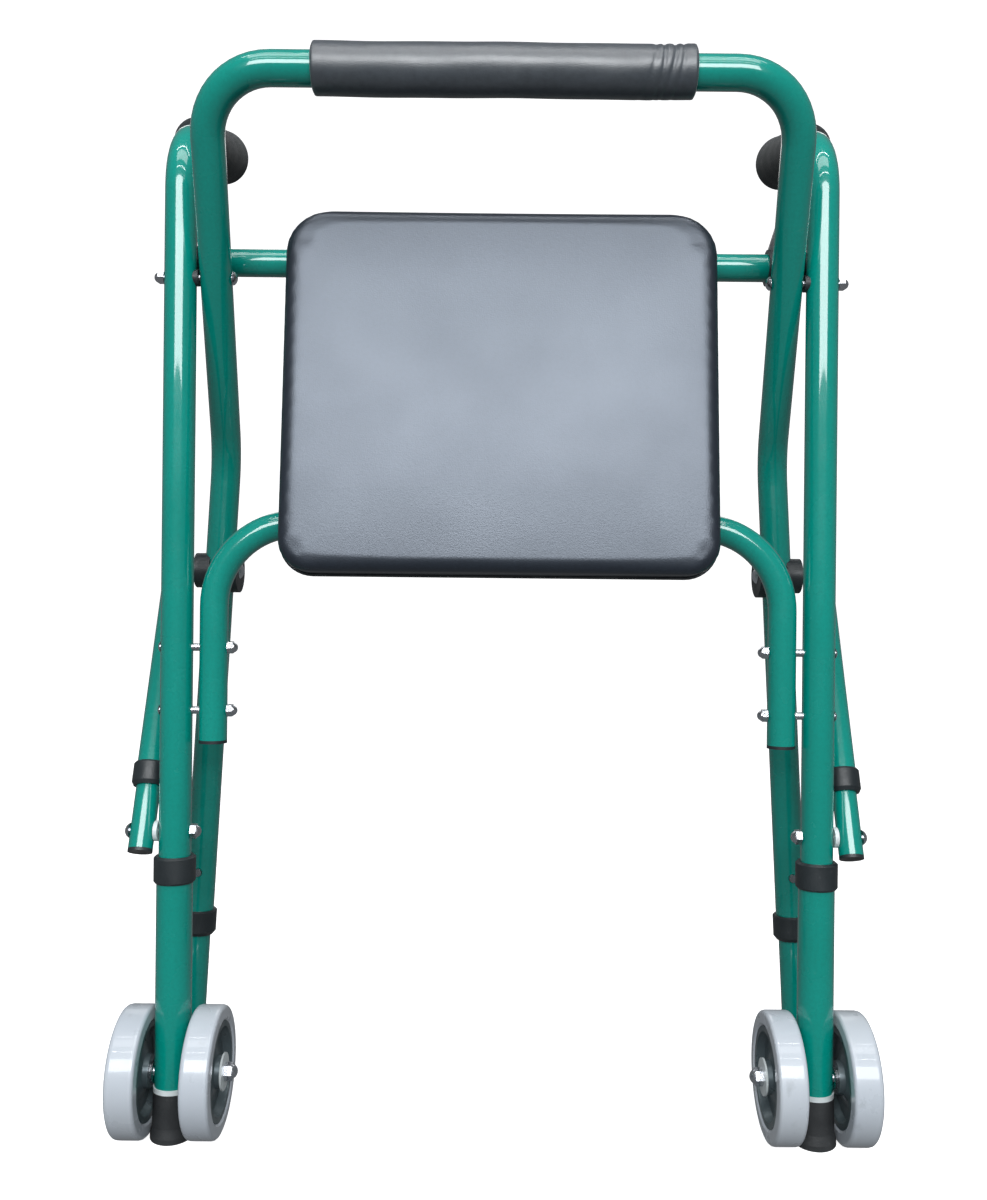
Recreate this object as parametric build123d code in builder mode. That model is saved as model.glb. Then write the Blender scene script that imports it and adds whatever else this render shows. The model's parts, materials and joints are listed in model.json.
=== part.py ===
from build123d import *

import os
from math import cos, radians, sin

# Front wheeled walker with a flip-down seat, standing folded with the seat up.
# Millimetres, +Z up, the front is -Y. Left is -X, as seen from the front.
# Shapes are placed in leg coordinates: x across the walker, back at right angles
# to the front legs, and up along them, all from the main folding pivot.

# Stance
LEAN = 5.0  # front legs lean back at the top, degrees
PIVOT_Y = -30.0  # puts the middle of the walker's depth on Y = 0
WHEEL_RADIUS = 50.0
AXLE_DROP = 624.0  # from the main pivot down to the axles

# Tubes: outer diameters and walls
MAIN_TUBE = 25.0
CROSS_TUBE = 22.0
FRONT_SLEEVE = 28.0
STRUT_OUTER = 22.0
STRUT_INNER = 19.0
WALL = 1.2
SLIDE_GAP = 0.3  # between telescoping tubes
FIT_GAP = 0.05  # between pieces that are fixed together

# Front frame
FRONT_SPREAD = 252.5  # from the middle to each front leg
FRONT_TUBE_END = -590.0
HANDLE_BEND = 55.0
HANDLE_TURN = 76.4  # degrees away from the leg
HANDLE_CORNER = 113.9
HANDLE_LENGTH = 142.0  # from the corner to the tube's end
GRIP_RADIUS = 23.2
GRIP_WAIST = 20.8
GRIP_START = 47.0
GRIP_END = 156.0
CROSS_SPREAD = 223.5
CROSS_BAR = -192.8
CROSS_END = -363.0
CROSS_BEND = 65.0
CROSS_BOLTS = (-290.4, -339.9)

# Rear frame: one tube, the backrest bar on top and the rear legs below
PIVOT_SPREAD = 224.4  # where the straight stretch from bar to bend passes the pivot
BAR_CORNER = (213.0, -90.2, 124.2)
LEG_BEND = (236.0, 92.0, -128.0)
REAR_FOOT = (262.5, 87.0, -662.0)
BAR_BEND = 51.0
LEG_BEND_RADIUS = 70.0
REAR_TUBE_END = -530.0
REAR_COLLAR_LENGTH = 21.0
FOAM_RADIUS = 18.8
FOAM_LENGTH = 271.0
BRACE_UP = -227.7

# Legs and wheels
SLEEVE_TOP = -467.0
SLEEVE_END = -634.0
COLLAR_TOP = -454.0
COLLAR_END = -475.0
TIP_END = -682.0  # before it is cut level
TIP_CLEARANCE = 0.5  # of the front tips above the floor
WHEEL_WIDTH = 22.8
WHEEL_GAP = 2.6  # from the leg sleeve to each wheel
TYRE_INNER = 38.0
TYRE_SHOULDER = ((0.3, 2.6), (0.9, 1.3), (2.0, 0.4), (3.8, 0.0))  # inwards, down
AXLE_RADIUS = 4.0
AXLE_WASHER = 14.2
HUB_BOSS = 12.5
REAR_LEG_TOP = -400.0
REAR_LEG_END = -640.0
REAR_TIP_RADIUS = 19.0

# Struts between the front and rear legs
STRUT_SPREAD = 278.0
STRUT_FOOT = -435.2
STRUT_COLLAR_AT = 45.0  # from the strut's lower pivot
STRUT_COLLAR_LENGTH = 19.0
STRUT_TAIL = 14.5
STRUT_INNER_REACH = 195.0

# Seat, placed from the cross bar that it hinges on
SEAT_TILT = 6.5  # degrees back from the front legs
SEAT_WIDTH = 332.0
SEAT_LOW, SEAT_HIGH = -44.8, 236.5
SEAT_BACK_FACE = 14.0
BOARD_THICKNESS = 12.0
BOARD_INSET = 7.0
PAD_THICKNESS = 28.0
PAD_CORNERS = (26.0, 34.0)  # lower and upper
REST_BAR_UP, REST_BAR_BACK = 20.0, 27.0
REST_BAR_END = 251.0
SLEEVE_START = 222.5
REST_SLEEVE_RADIUS = 13.0
CLAMP_SPREAD = 100.0

# Fasteners
BOLT_RADIUS = 3.0
BOLT_HOLE = 3.1
HEAD_RADIUS = 6.0
HEAD_HEIGHT = 4.0

# Spring buttons of the telescoping legs
BUTTON_RADIUS = 3.2
BUTTON_HOLE = 3.5
FRONT_BUTTON_UP = -520.0
REAR_BUTTON_UP = -486.0
LEG_HOLE_PITCH = 25.0
BUTTON_PROUD = 2.0  # how far a button stands out of its tube

# Latch that holds the seat up, turning on the rest bar
LATCH_RING = (214.5, 222.0)  # where its ring turns on the rest bar
LATCH_OUTLINE = (
    (214.5, 22.0),
    (214.5, 30.0),
    (225.0, 64.0),
    (227.0, 66.0),
    (233.0, 66.0),
    (235.0, 63.0),
    (233.0, 55.0),
    (222.0, 38.0),
    (222.0, 22.0),
)

SIDES = (("left", -1), ("right", 1))

LEG_FRAME = Plane(
    origin=(0, PIVOT_Y, WHEEL_RADIUS + AXLE_DROP * cos(radians(LEAN))),
    x_dir=(1, 0, 0),
    z_dir=(0, sin(radians(LEAN)), cos(radians(LEAN))),
)
SEAT_LEAN = radians(LEAN + SEAT_TILT)


def spot(x, back, up):
    """The point at leg coordinates x, back and up."""
    return LEG_FRAME.from_local_coords(Vector(x, back, up))


def between(start, end, share):
    """The leg coordinates a share of the way from start to end."""
    return tuple(a + (b - a) * share for a, b in zip(start, end))


def on_side(side, point):
    """Leg coordinates mirrored to a side."""
    return (side * point[0], point[1], point[2])


def rear_leg_point(side, up):
    """The rear leg's centre line at a height."""
    share = (up - LEG_BEND[2]) / (REAR_FOOT[2] - LEG_BEND[2])
    return on_side(side, between(LEG_BEND, REAR_FOOT, share))


def facing(start, end):
    """A plane at start that looks at end, both in leg coordinates."""
    origin = spot(*start)
    return Plane(origin=origin, z_dir=spot(*end) - origin)


def ring_bar(plane, length, outer, inner=0.0, mode=Mode.ADD):
    """A round bar or tube of two radii, from a plane along its normal."""
    with BuildSketch(plane) as section:
        Circle(outer)
        if inner:
            Circle(inner, mode=Mode.SUBTRACT)
    extrude(section.sketch, amount=length, mode=mode)


def straight_tube(start, end, outer, inner=0.0, mode=Mode.ADD):
    """A round bar or tube between two places in leg coordinates."""
    length = (spot(*end) - spot(*start)).length
    ring_bar(facing(start, end), length, outer, inner, mode)


def bent_tube(corners, bends, outer, inner):
    """A tube through corners in leg coordinates, with an arc at each inner one."""
    with BuildLine() as path:
        FilletPolyline(*[spot(*corner) for corner in corners], radius=bends)
    with BuildSketch(Plane(origin=path.line @ 0, z_dir=path.line % 0)) as section:
        Circle(outer)
        Circle(inner, mode=Mode.SUBTRACT)
    sweep(section.sketch, path=path.line)


def cross_bore(x, back, up, radius, length):
    """A hole along X through the active part."""
    with Locations(spot(x, back, up)):
        Cylinder(radius, length, rotation=(0, 90, 0), mode=Mode.SUBTRACT)


def cross_plane(side, x, back, up):
    """A plane at a place, facing outwards along X on that side."""
    return Plane(origin=spot(side * x, back, up), x_dir=(0, 1, 0), z_dir=(side, 0, 0))


def turned(plane, outline):
    """A solid of revolution about a plane's normal, from (along, radius) points."""
    profile = Plane(origin=plane.origin, x_dir=plane.z_dir, z_dir=plane.x_dir)
    with BuildSketch(profile) as section:
        with BuildLine():
            Polyline(*outline, outline[0])
        make_face()
    revolve(section.sketch, axis=Axis(plane.origin, plane.z_dir))


def domed(plane, radius, height, shank, shank_length):
    """A domed head that rises from a plane, with its shank going the other way."""
    profile = Plane(origin=plane.origin, x_dir=plane.z_dir, z_dir=plane.x_dir)
    with BuildSketch(profile) as section:
        with BuildLine():
            TangentArc((height, 0), (0, radius), tangent=(0, 1))
            Polyline((0, radius), (0, shank), (-shank_length, shank))
            Polyline((-shank_length, shank), (-shank_length, 0), (height, 0))
        make_face()
    revolve(section.sketch, axis=Axis(plane.origin, plane.z_dir))


def dome_nut(plane, radius, bore_radius, base=4.5, height=8.0):
    """A hexagon cap nut that stands on a plane."""
    with BuildSketch(plane) as hexagon:
        RegularPolygon(radius, 6)
        Circle(bore_radius, mode=Mode.SUBTRACT)
    extrude(hexagon.sketch, amount=base)
    cap = radius * cos(radians(30)) - 0.4
    profile = Plane(
        origin=plane.offset(base).origin, x_dir=plane.z_dir, z_dir=plane.x_dir
    )
    with BuildSketch(profile) as dome:
        with BuildLine():
            TangentArc((height - base, 0), (0, cap), tangent=(0, 1))
            Polyline((0, cap), (0, 0), (height - base, 0))
        make_face()
    revolve(dome.sketch, axis=Axis(plane.origin, plane.z_dir))


def save(piece, label):
    """Label a finished piece and write it as its own file."""
    piece.part.label = label
    export_step(piece.part, f"parts/{label}.step")


# ---------------------------------------------------------------- front frame


def handle_point(side, along):
    """A place on the handle's axis, measured from the corner of its bend."""
    turn = radians(HANDLE_TURN)
    return (side * FRONT_SPREAD, along * sin(turn), HANDLE_CORNER + along * cos(turn))


def make_front_tube(name, side):
    x = side * FRONT_SPREAD
    corners = [
        (x, 0, FRONT_TUBE_END),
        (x, 0, HANDLE_CORNER),
        handle_point(side, HANDLE_LENGTH),
    ]
    with BuildPart() as front_tube:
        bent_tube(corners, HANDLE_BEND, MAIN_TUBE / 2, MAIN_TUBE / 2 - WALL)
        for up in (0, *CROSS_BOLTS, STRUT_FOOT):
            cross_bore(x, 0, up, BOLT_HOLE, 2 * MAIN_TUBE)
        with Locations(spot(x, MAIN_TUBE / 2, FRONT_BUTTON_UP)):
            Cylinder(BUTTON_HOLE, MAIN_TUBE / 2, rotation=(90 - LEAN, 0, 0),
                     mode=Mode.SUBTRACT)
    save(front_tube, f"front_tube_{name}")


def make_hand_grips():
    """Closed foam grips, a little fuller in the middle."""
    length = GRIP_END - GRIP_START
    hole = HANDLE_LENGTH - GRIP_START
    bore = MAIN_TUBE / 2 + FIT_GAP
    with BuildPart() as hand_grips:
        for _, side in SIDES:
            plane = facing(handle_point(side, GRIP_START), handle_point(side, GRIP_END))
            profile = Plane(origin=plane.origin, x_dir=plane.z_dir, z_dir=plane.x_dir)
            with BuildSketch(profile):
                with BuildLine():
                    Polyline((0, bore), (0, 18.5), (2.0, 20.0))
                    Spline((2.0, 20.0), (length / 2, GRIP_WAIST), (length - 19.0, GRIP_RADIUS))
                    TangentArc((length, 0), (length - 19.0, GRIP_RADIUS), tangent=(0, 1))
                    Polyline((length, 0), (hole, 0), (hole, bore), (0, bore))
                make_face()
            revolve(axis=Axis(plane.origin, plane.z_dir))
    save(hand_grips, "hand_grips")


def make_lower_cross_tube():
    corners = [
        (-CROSS_SPREAD, 0, CROSS_END),
        (-CROSS_SPREAD, 0, CROSS_BAR),
        (CROSS_SPREAD, 0, CROSS_BAR),
        (CROSS_SPREAD, 0, CROSS_END),
    ]
    with BuildPart() as lower_cross_tube:
        bent_tube(corners, CROSS_BEND, CROSS_TUBE / 2, CROSS_TUBE / 2 - WALL)
        for _, side in SIDES:
            for up in CROSS_BOLTS:
                cross_bore(side * CROSS_SPREAD, 0, up, BOLT_HOLE, 2 * CROSS_TUBE)
    save(lower_cross_tube, "lower_cross_tube")


def end_plug(end, inside, flange_radius, spigot_radius, flange=2.5, spigot=10.0):
    """A push-in plug for a tube that ends at end and runs towards inside."""
    plane = facing(end, inside)
    ring_bar(plane.offset(-flange), flange - FIT_GAP, flange_radius)
    ring_bar(plane.offset(-flange), flange + spigot, spigot_radius)


def make_cross_tube_plugs():
    bore = CROSS_TUBE / 2 - WALL - FIT_GAP
    with BuildPart() as cross_tube_plugs:
        for _, side in SIDES:
            x = side * CROSS_SPREAD
            end_plug((x, 0, CROSS_END), (x, 0, CROSS_BAR), CROSS_TUBE / 2, bore)
    save(cross_tube_plugs, "cross_tube_plugs")


def make_cross_tube_bolts():
    """Bolts from outside the front legs, through the cross tube's ends."""
    start = FRONT_SPREAD + MAIN_TUBE / 2 + FIT_GAP
    length = start - (CROSS_SPREAD - CROSS_TUBE / 2) + 4.0
    with BuildPart() as cross_tube_bolts:
        for _, side in SIDES:
            for up in CROSS_BOLTS:
                domed(cross_plane(side, start, 0, up), 4.5, 2.0, BOLT_RADIUS, length)
    save(cross_tube_bolts, "cross_tube_bolts")


def make_frame_nuts():
    """Cap nuts: inside the cross tube and the strut bolts, outside the main pivot."""
    inner_face = CROSS_SPREAD - CROSS_TUBE / 2 - FIT_GAP
    strut_face = FRONT_SPREAD - MAIN_TUBE / 2 - FIT_GAP
    outer_face = FRONT_SPREAD + MAIN_TUBE / 2 + FIT_GAP
    with BuildPart() as frame_nuts:
        for _, side in SIDES:
            for up in CROSS_BOLTS:
                inward = Plane(
                    origin=spot(side * inner_face, 0, up),
                    x_dir=(0, 1, 0),
                    z_dir=(-side, 0, 0),
                )
                dome_nut(inward, 5.2, BOLT_HOLE)
            inward = Plane(
                origin=spot(side * strut_face, 0, STRUT_FOOT),
                x_dir=(0, 1, 0),
                z_dir=(-side, 0, 0),
            )
            dome_nut(inward, HEAD_RADIUS, BOLT_HOLE)
            dome_nut(cross_plane(side, outer_face, 0, 0), 5.2, BOLT_HOLE)
    save(frame_nuts, "frame_nuts")


def make_pivot_bolts():
    """Main pivot bolts, headed on the inside of the rear frame."""
    head_face = PIVOT_SPREAD - MAIN_TUBE / 2 - 0.9
    length = FRONT_SPREAD + MAIN_TUBE / 2 - head_face + 4.0
    with BuildPart() as pivot_bolts:
        for _, side in SIDES:
            inward = Plane(
                origin=spot(side * head_face, 0, 0), x_dir=(0, 1, 0), z_dir=(-side, 0, 0)
            )
            domed(inward, 5.5, 3.5, BOLT_RADIUS, length)
    save(pivot_bolts, "pivot_bolts")


def make_pivot_spacers():
    """Thin bushes that hold the rear frame off the front legs, saddled to both."""
    middle = (PIVOT_SPREAD + FRONT_SPREAD) / 2
    with BuildPart() as pivot_spacers:
        for _, side in SIDES:
            with Locations(spot(side * middle, 0, 0)):
                Cylinder(6.5, 10.0, rotation=(0, 90, 0))
            x = side * FRONT_SPREAD
            straight_tube((x, 0, -20), (x, 0, 20), MAIN_TUBE / 2 + FIT_GAP,
                          mode=Mode.SUBTRACT)
            # A flat face to the rear frame, which turns on it.
            face = PIVOT_SPREAD + MAIN_TUBE / 2 + 0.9
            with Locations(spot(side * (face - 10), 0, 0)):
                Box(20, 30, 30, mode=Mode.SUBTRACT)
            cross_bore(side * middle, 0, 0, BOLT_HOLE, 20)
    save(pivot_spacers, "pivot_spacers")


def make_strut_pivot_bolts():
    start = STRUT_SPREAD + STRUT_INNER / 2 + 0.3
    length = start - (FRONT_SPREAD - MAIN_TUBE / 2) + 4.0
    with BuildPart() as strut_pivot_bolts:
        for _, side in SIDES:
            plane = cross_plane(side, start, 0, STRUT_FOOT)
            domed(plane, HEAD_RADIUS, HEAD_HEIGHT, BOLT_RADIUS, length)
    save(strut_pivot_bolts, "strut_pivot_bolts")


def make_strut_washers():
    """Pale washers between the front legs and the struts."""
    start = FRONT_SPREAD + MAIN_TUBE / 2 + FIT_GAP
    width = STRUT_SPREAD - STRUT_INNER / 2 - 0.3 - start
    with BuildPart() as strut_washers:
        for _, side in SIDES:
            plane = cross_plane(side, start, 0, STRUT_FOOT)
            ring_bar(plane, width, 8.0, BOLT_HOLE)
    save(strut_washers, "strut_washers")


# ----------------------------------------------------------------- rear frame


def make_back_frame_tube():
    """The backrest bar and both rear legs, bent from one tube."""
    ends = [rear_leg_point(side, REAR_TUBE_END) for _, side in SIDES]
    corners = [
        ends[0],
        on_side(-1, LEG_BEND),
        on_side(-1, BAR_CORNER),
        BAR_CORNER,
        LEG_BEND,
        ends[1],
    ]
    bends = [LEG_BEND_RADIUS, BAR_BEND, BAR_BEND, LEG_BEND_RADIUS]
    with BuildPart() as back_frame_tube:
        bent_tube(corners, bends, MAIN_TUBE / 2, MAIN_TUBE / 2 - WALL)
        for _, side in SIDES:
            cross_bore(side * PIVOT_SPREAD, 0, 0, BOLT_HOLE, 2 * MAIN_TUBE)
            brace = rear_leg_point(side, BRACE_UP)
            cross_bore(*brace, BOLT_HOLE, 2 * MAIN_TUBE)
            x, back, up = rear_leg_point(side, REAR_BUTTON_UP)
            with Locations(spot(x, back - MAIN_TUBE / 2, up)):
                Cylinder(BUTTON_HOLE, MAIN_TUBE / 2, rotation=(90 - LEAN, 0, 0),
                         mode=Mode.SUBTRACT)
    save(back_frame_tube, "back_frame_tube")


def make_backrest_foam():
    _, back, up = BAR_CORNER
    half = FOAM_LENGTH / 2
    with BuildPart() as backrest_foam:
        straight_tube((-half, back, up), (half, back, up), FOAM_RADIUS,
                      MAIN_TUBE / 2 + FIT_GAP)
        rims = backrest_foam.edges().filter_by(GeomType.CIRCLE)
        fillet(rims.group_by(SortBy.RADIUS)[-1], 3.0)
    save(backrest_foam, "backrest_foam")


def make_brace_discs():
    """Saddle discs each side of the rear legs, where the struts are braced."""
    with BuildPart() as brace_discs:
        for _, side in SIDES:
            x, back, up = rear_leg_point(side, BRACE_UP)
            for outward, reach, radius in ((-1, 17.5, 19.0), (1, 19.5, 15.0)):
                inner = x + side * outward * 6.0
                plane = Plane(
                    origin=spot(inner, back, up),
                    x_dir=(0, 1, 0),
                    z_dir=(side * outward, 0, 0),
                )
                ring_bar(plane, reach - 6.0, radius, BOLT_HOLE)
            straight_tube(on_side(side, LEG_BEND), rear_leg_point(side, REAR_TUBE_END),
                          MAIN_TUBE / 2 + FIT_GAP, mode=Mode.SUBTRACT)
    save(brace_discs, "brace_discs")


def make_brace_bolts():
    """Bolts that hold the brace discs, with low heads inside and outside."""
    with BuildPart() as brace_bolts:
        for _, side in SIDES:
            x, back, up = rear_leg_point(side, BRACE_UP)
            for outward, reach, height in ((-1, 17.6, 3.5), (1, 19.6, 1.2)):
                plane = Plane(
                    origin=spot(x + side * outward * reach, back, up),
                    x_dir=(0, 1, 0),
                    z_dir=(side * outward, 0, 0),
                )
                domed(plane, 7.0, height, BOLT_RADIUS, reach + 1.0)
    save(brace_bolts, "brace_bolts")


def make_rear_collars():
    """Plastic mouths of the rear legs, stepped down to the sliding leg."""
    tube = MAIN_TUBE / 2
    leg = CROSS_TUBE / 2
    half = REAR_COLLAR_LENGTH / 2
    with BuildPart() as rear_collars:
        for _, side in SIDES:
            plane = facing(rear_leg_point(side, REAR_TUBE_END), on_side(side, REAR_FOOT))
            turned(plane, [
                (-half, tube + FIT_GAP),
                (-half, tube + 1.8),
                (-half + 1.0, tube + 2.8),
                (half - 3.0, tube + 2.8),
                (half, tube + 0.5),
                (half, leg + SLIDE_GAP),
                (FIT_GAP, leg + SLIDE_GAP),
                (FIT_GAP, tube + FIT_GAP),
            ])
    save(rear_collars, "rear_collars")


# --------------------------------------------------------- front legs, wheels



def make_front_lower_leg(name, side):
    """The sleeve that slides on the front tube, with its row of height holes."""
    x = side * FRONT_SPREAD
    outer = FRONT_SLEEVE / 2
    with BuildPart() as front_lower_leg:
        straight_tube((x, 0, SLEEVE_TOP), (x, 0, SLEEVE_END), outer,
                      MAIN_TUBE / 2 + SLIDE_GAP)
        cross_bore(x, 0, -AXLE_DROP, AXLE_RADIUS + FIT_GAP, 2 * FRONT_SLEEVE)
        for step in range(4):
            up = FRONT_BUTTON_UP + (step - 1) * LEG_HOLE_PITCH
            with Locations(spot(x, outer, up)):
                Cylinder(BUTTON_HOLE, outer, rotation=(90 - LEAN, 0, 0),
                         mode=Mode.SUBTRACT)
    save(front_lower_leg, f"front_lower_leg_{name}")


def make_front_leg_collar(name, side):
    x = side * FRONT_SPREAD
    tube = MAIN_TUBE / 2 + SLIDE_GAP
    sleeve = FRONT_SLEEVE / 2
    depth = COLLAR_TOP - COLLAR_END
    step = COLLAR_TOP - SLEEVE_TOP
    with BuildPart() as front_leg_collar:
        turned(facing((x, 0, COLLAR_TOP), (x, 0, COLLAR_END)), [
            (0, tube),
            (0, sleeve + 0.6),
            (1.5, sleeve + 2.2),
            (depth - 1.5, sleeve + 2.2),
            (depth, sleeve + 1.0),
            (depth, sleeve + FIT_GAP),
            (step - FIT_GAP, sleeve + FIT_GAP),
            (step - FIT_GAP, tube),
        ])
    save(front_leg_collar, f"front_leg_collar_{name}")


def make_front_tip_and_ring(name, side):
    """A rubber tip pushed into the sleeve's end, over a white ring, cut level below."""
    x = side * FRONT_SPREAD
    bore = FRONT_SLEEVE / 2 - WALL - FIT_GAP
    plane = facing((x, 0, SLEEVE_END), (x, 0, TIP_END))
    length = SLEEVE_END - TIP_END
    with BuildPart() as front_leg_ring:
        ring_bar(plane.offset(FIT_GAP), 3.8, FRONT_SLEEVE / 2 + 0.8, bore + 2 * FIT_GAP)
    save(front_leg_ring, f"front_leg_ring_{name}")
    with BuildPart() as front_leg_tip:
        turned(plane, [
            (-5.0, 0),
            (-5.0, bore),
            (3.9, bore),
            (3.9, 14.9),
            (length - 18.0, 15.4),
            (length - 11.0, 16.9),
            (length, 17.2),
            (length, 0),
        ])
        split(bisect_by=Plane.XY.offset(TIP_CLEARANCE), keep=Keep.TOP)
    save(front_leg_tip, f"front_leg_tip_{name}")


def wheel_middles():
    """How far each wheel's middle is from the walker's middle."""
    offset = FRONT_SLEEVE / 2 + WHEEL_GAP + WHEEL_WIDTH / 2
    return (("inner", FRONT_SPREAD - offset), ("outer", FRONT_SPREAD + offset))


def axle_rings(side, start, width, radius):
    """A ring on the axle on each side of the leg, from start outwards."""
    for outward in (-1, 1):
        plane = Plane(
            origin=spot(side * (FRONT_SPREAD + outward * start), 0, -AXLE_DROP),
            x_dir=(0, 1, 0),
            z_dir=(side * outward, 0, 0),
        )
        ring_bar(plane, width, radius, AXLE_RADIUS + FIT_GAP)


def make_axle_fasteners(name, side):
    """The axle bolt, headed outside the outer wheel, its cap nut and two spacers."""
    reach = FRONT_SLEEVE / 2 + WHEEL_GAP + WHEEL_WIDTH + 1.8
    with BuildPart() as axle_fasteners:
        head = cross_plane(side, FRONT_SPREAD + reach, 0, -AXLE_DROP)
        domed(head, 7.5, 3.5, AXLE_RADIUS, 2 * reach + 4.5)
        inward = Plane(
            origin=spot(side * (FRONT_SPREAD - reach), 0, -AXLE_DROP),
            x_dir=(0, 1, 0),
            z_dir=(-side, 0, 0),
        )
        dome_nut(inward, 7.0, AXLE_RADIUS + FIT_GAP, base=6.0, height=10.0)
        axle_rings(side, FRONT_SLEEVE / 2 + FIT_GAP, WHEEL_GAP - 0.3, 9.0)
    save(axle_fasteners, f"axle_fasteners_{name}")


def make_axle_washers(name, side):
    """Pale washers outside both wheels."""
    with BuildPart() as axle_washers:
        start = FRONT_SLEEVE / 2 + WHEEL_GAP + WHEEL_WIDTH + 0.2
        axle_rings(side, start, 1.5, AXLE_WASHER)
    save(axle_washers, f"axle_washers_{name}")


def make_wheel(name, side, place, middle):
    """A solid grey tyre on a hub that is dished on both sides."""
    half = WHEEL_WIDTH / 2
    plane = cross_plane(side, middle, 0, -AXLE_DROP)
    with BuildPart() as tyre:
        turned(plane, [
            (-half + 1.5, TYRE_INNER),
            (-half, TYRE_INNER + 2.0),
            (-half, WHEEL_RADIUS - 9.0),
            *[(-half + into, WHEEL_RADIUS - drop) for into, drop in TYRE_SHOULDER],
            *[(half - into, WHEEL_RADIUS - drop) for into, drop in TYRE_SHOULDER[::-1]],
            (half, WHEEL_RADIUS - 9.0),
            (half, TYRE_INNER + 2.0),
            (half - 1.5, TYRE_INNER),
        ])
    save(tyre, f"tyre_{name}_{place}")
    rim = TYRE_INNER - FIT_GAP
    dish = [
        (half, 0),
        (half, HUB_BOSS),
        (half - 4.0, HUB_BOSS + 0.8),
        (5.5, HUB_BOSS + 5.0),
        (4.0, HUB_BOSS + 10.0),
        (4.0, rim - 7.0),
        (half - 2.5, rim - 4.8),
        (half - 1.0, rim - 4.4),
        (half - 1.0, rim),
    ]
    with BuildPart() as hub:
        turned(plane, [(-along, radius) for along, radius in dish] + dish[::-1])
        ring_bar(plane.offset(-half - 1.0), WHEEL_WIDTH + 2.0, AXLE_RADIUS + 0.15,
                 mode=Mode.SUBTRACT)
    save(hub, f"wheel_hub_{name}_{place}")


# ------------------------------------------------------------------ rear legs


def make_rear_lower_leg(name, side):
    """The leg that slides inside the rear frame's tube."""
    outer = CROSS_TUBE / 2
    with BuildPart() as rear_lower_leg:
        straight_tube(rear_leg_point(side, REAR_LEG_TOP),
                      rear_leg_point(side, REAR_LEG_END), outer, outer - WALL)
        for step in range(4):
            up = REAR_BUTTON_UP + step * LEG_HOLE_PITCH
            x, back, up = rear_leg_point(side, up)
            with Locations(spot(x, back - outer, up)):
                Cylinder(BUTTON_HOLE, outer, rotation=(90 - LEAN, 0, 0),
                         mode=Mode.SUBTRACT)
    save(rear_lower_leg, f"rear_lower_leg_{name}")


def make_rear_leg_tip(name, side):
    """A flared rubber tip over the rear leg's end, cut level with the floor."""
    leg = CROSS_TUBE / 2
    plane = facing(rear_leg_point(side, REAR_LEG_END), on_side(side, REAR_FOOT))
    with BuildPart() as rear_leg_tip:
        turned(plane, [
            (-24.0, leg + FIT_GAP),
            (-24.0, leg + 2.5),
            (-6.0, leg + 3.5),
            (2.0, leg + 4.5),
            (12.0, REAR_TIP_RADIUS - 0.5),
            (16.0, REAR_TIP_RADIUS),
            (60.0, REAR_TIP_RADIUS),
            (60.0, 0),
            (FIT_GAP, 0),
            (FIT_GAP, leg + FIT_GAP),
        ])
        with Locations(rear_leg_floor(side)):
            Box(120, 120, 200, align=(Align.CENTER, Align.CENTER, Align.MAX),
                mode=Mode.SUBTRACT)
    save(rear_leg_tip, f"rear_leg_tip_{name}")


def rear_leg_floor(side):
    """The point of the floor under a rear foot."""
    foot = spot(*on_side(side, REAR_FOOT))
    return (foot.X, foot.Y, 0)


def make_spring_button(label, centre, toward_back, tube_inner, proud_radius):
    """A snap button on a bent leaf spring, inside a leg tube."""
    x, back, up = centre
    way = 1 if toward_back else -1
    out_dir = spot(x, back + way, up) - spot(x, back, up)
    leaf = tube_inner - 1.2
    with BuildPart() as spring_button:
        root = Plane(origin=spot(x, back + way * (leaf - 1.6), up), x_dir=(1, 0, 0),
                     z_dir=out_dir)
        ring_bar(root, proud_radius + BUTTON_PROUD - (leaf - 1.6), BUTTON_RADIUS)
        near = spot(x, back + way * (leaf - 1.0), up)
        with Locations(Location(near, (-LEAN, 0, 0))):
            Box(5.0, 1.0, 12.0)
        middle = spot(x, back, up + 20.0)
        for lean_way in (1, -1):
            tilt = lean_way * way * 19.0
            with Locations(Location(middle, (-LEAN - tilt, 0, 0))):
                Box(5.0, 1.0, 38.0, align=(Align.CENTER, Align.CENTER, Align.CENTER))
    save(spring_button, label)


# --------------------------------------------------------------------- struts


def strut_ends(side):
    """Leg coordinates of a strut's lower and upper pivots."""
    _, back, _ = rear_leg_point(side, BRACE_UP)
    x = side * STRUT_SPREAD
    return (x, 0, STRUT_FOOT), (x, back, BRACE_UP)


def strut_point(side, along):
    """A place on a strut's axis, measured from its lower pivot."""
    low, high = strut_ends(side)
    length = (spot(*high) - spot(*low)).length
    return between(low, high, along / length)


def make_strut_inner(name, side):
    outer = STRUT_INNER / 2
    with BuildPart() as strut_inner:
        straight_tube(strut_point(side, -STRUT_TAIL), strut_point(side, STRUT_INNER_REACH),
                      outer, outer - WALL)
        cross_bore(*strut_point(side, 0), BOLT_HOLE, 2 * STRUT_INNER)
    save(strut_inner, f"strut_inner_{name}")
    with BuildPart() as strut_plug:
        end_plug(strut_point(side, -STRUT_TAIL), strut_point(side, 0), outer,
                 outer - WALL - FIT_GAP, spigot=8.0)
    save(strut_plug, f"strut_plug_{name}")


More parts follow.
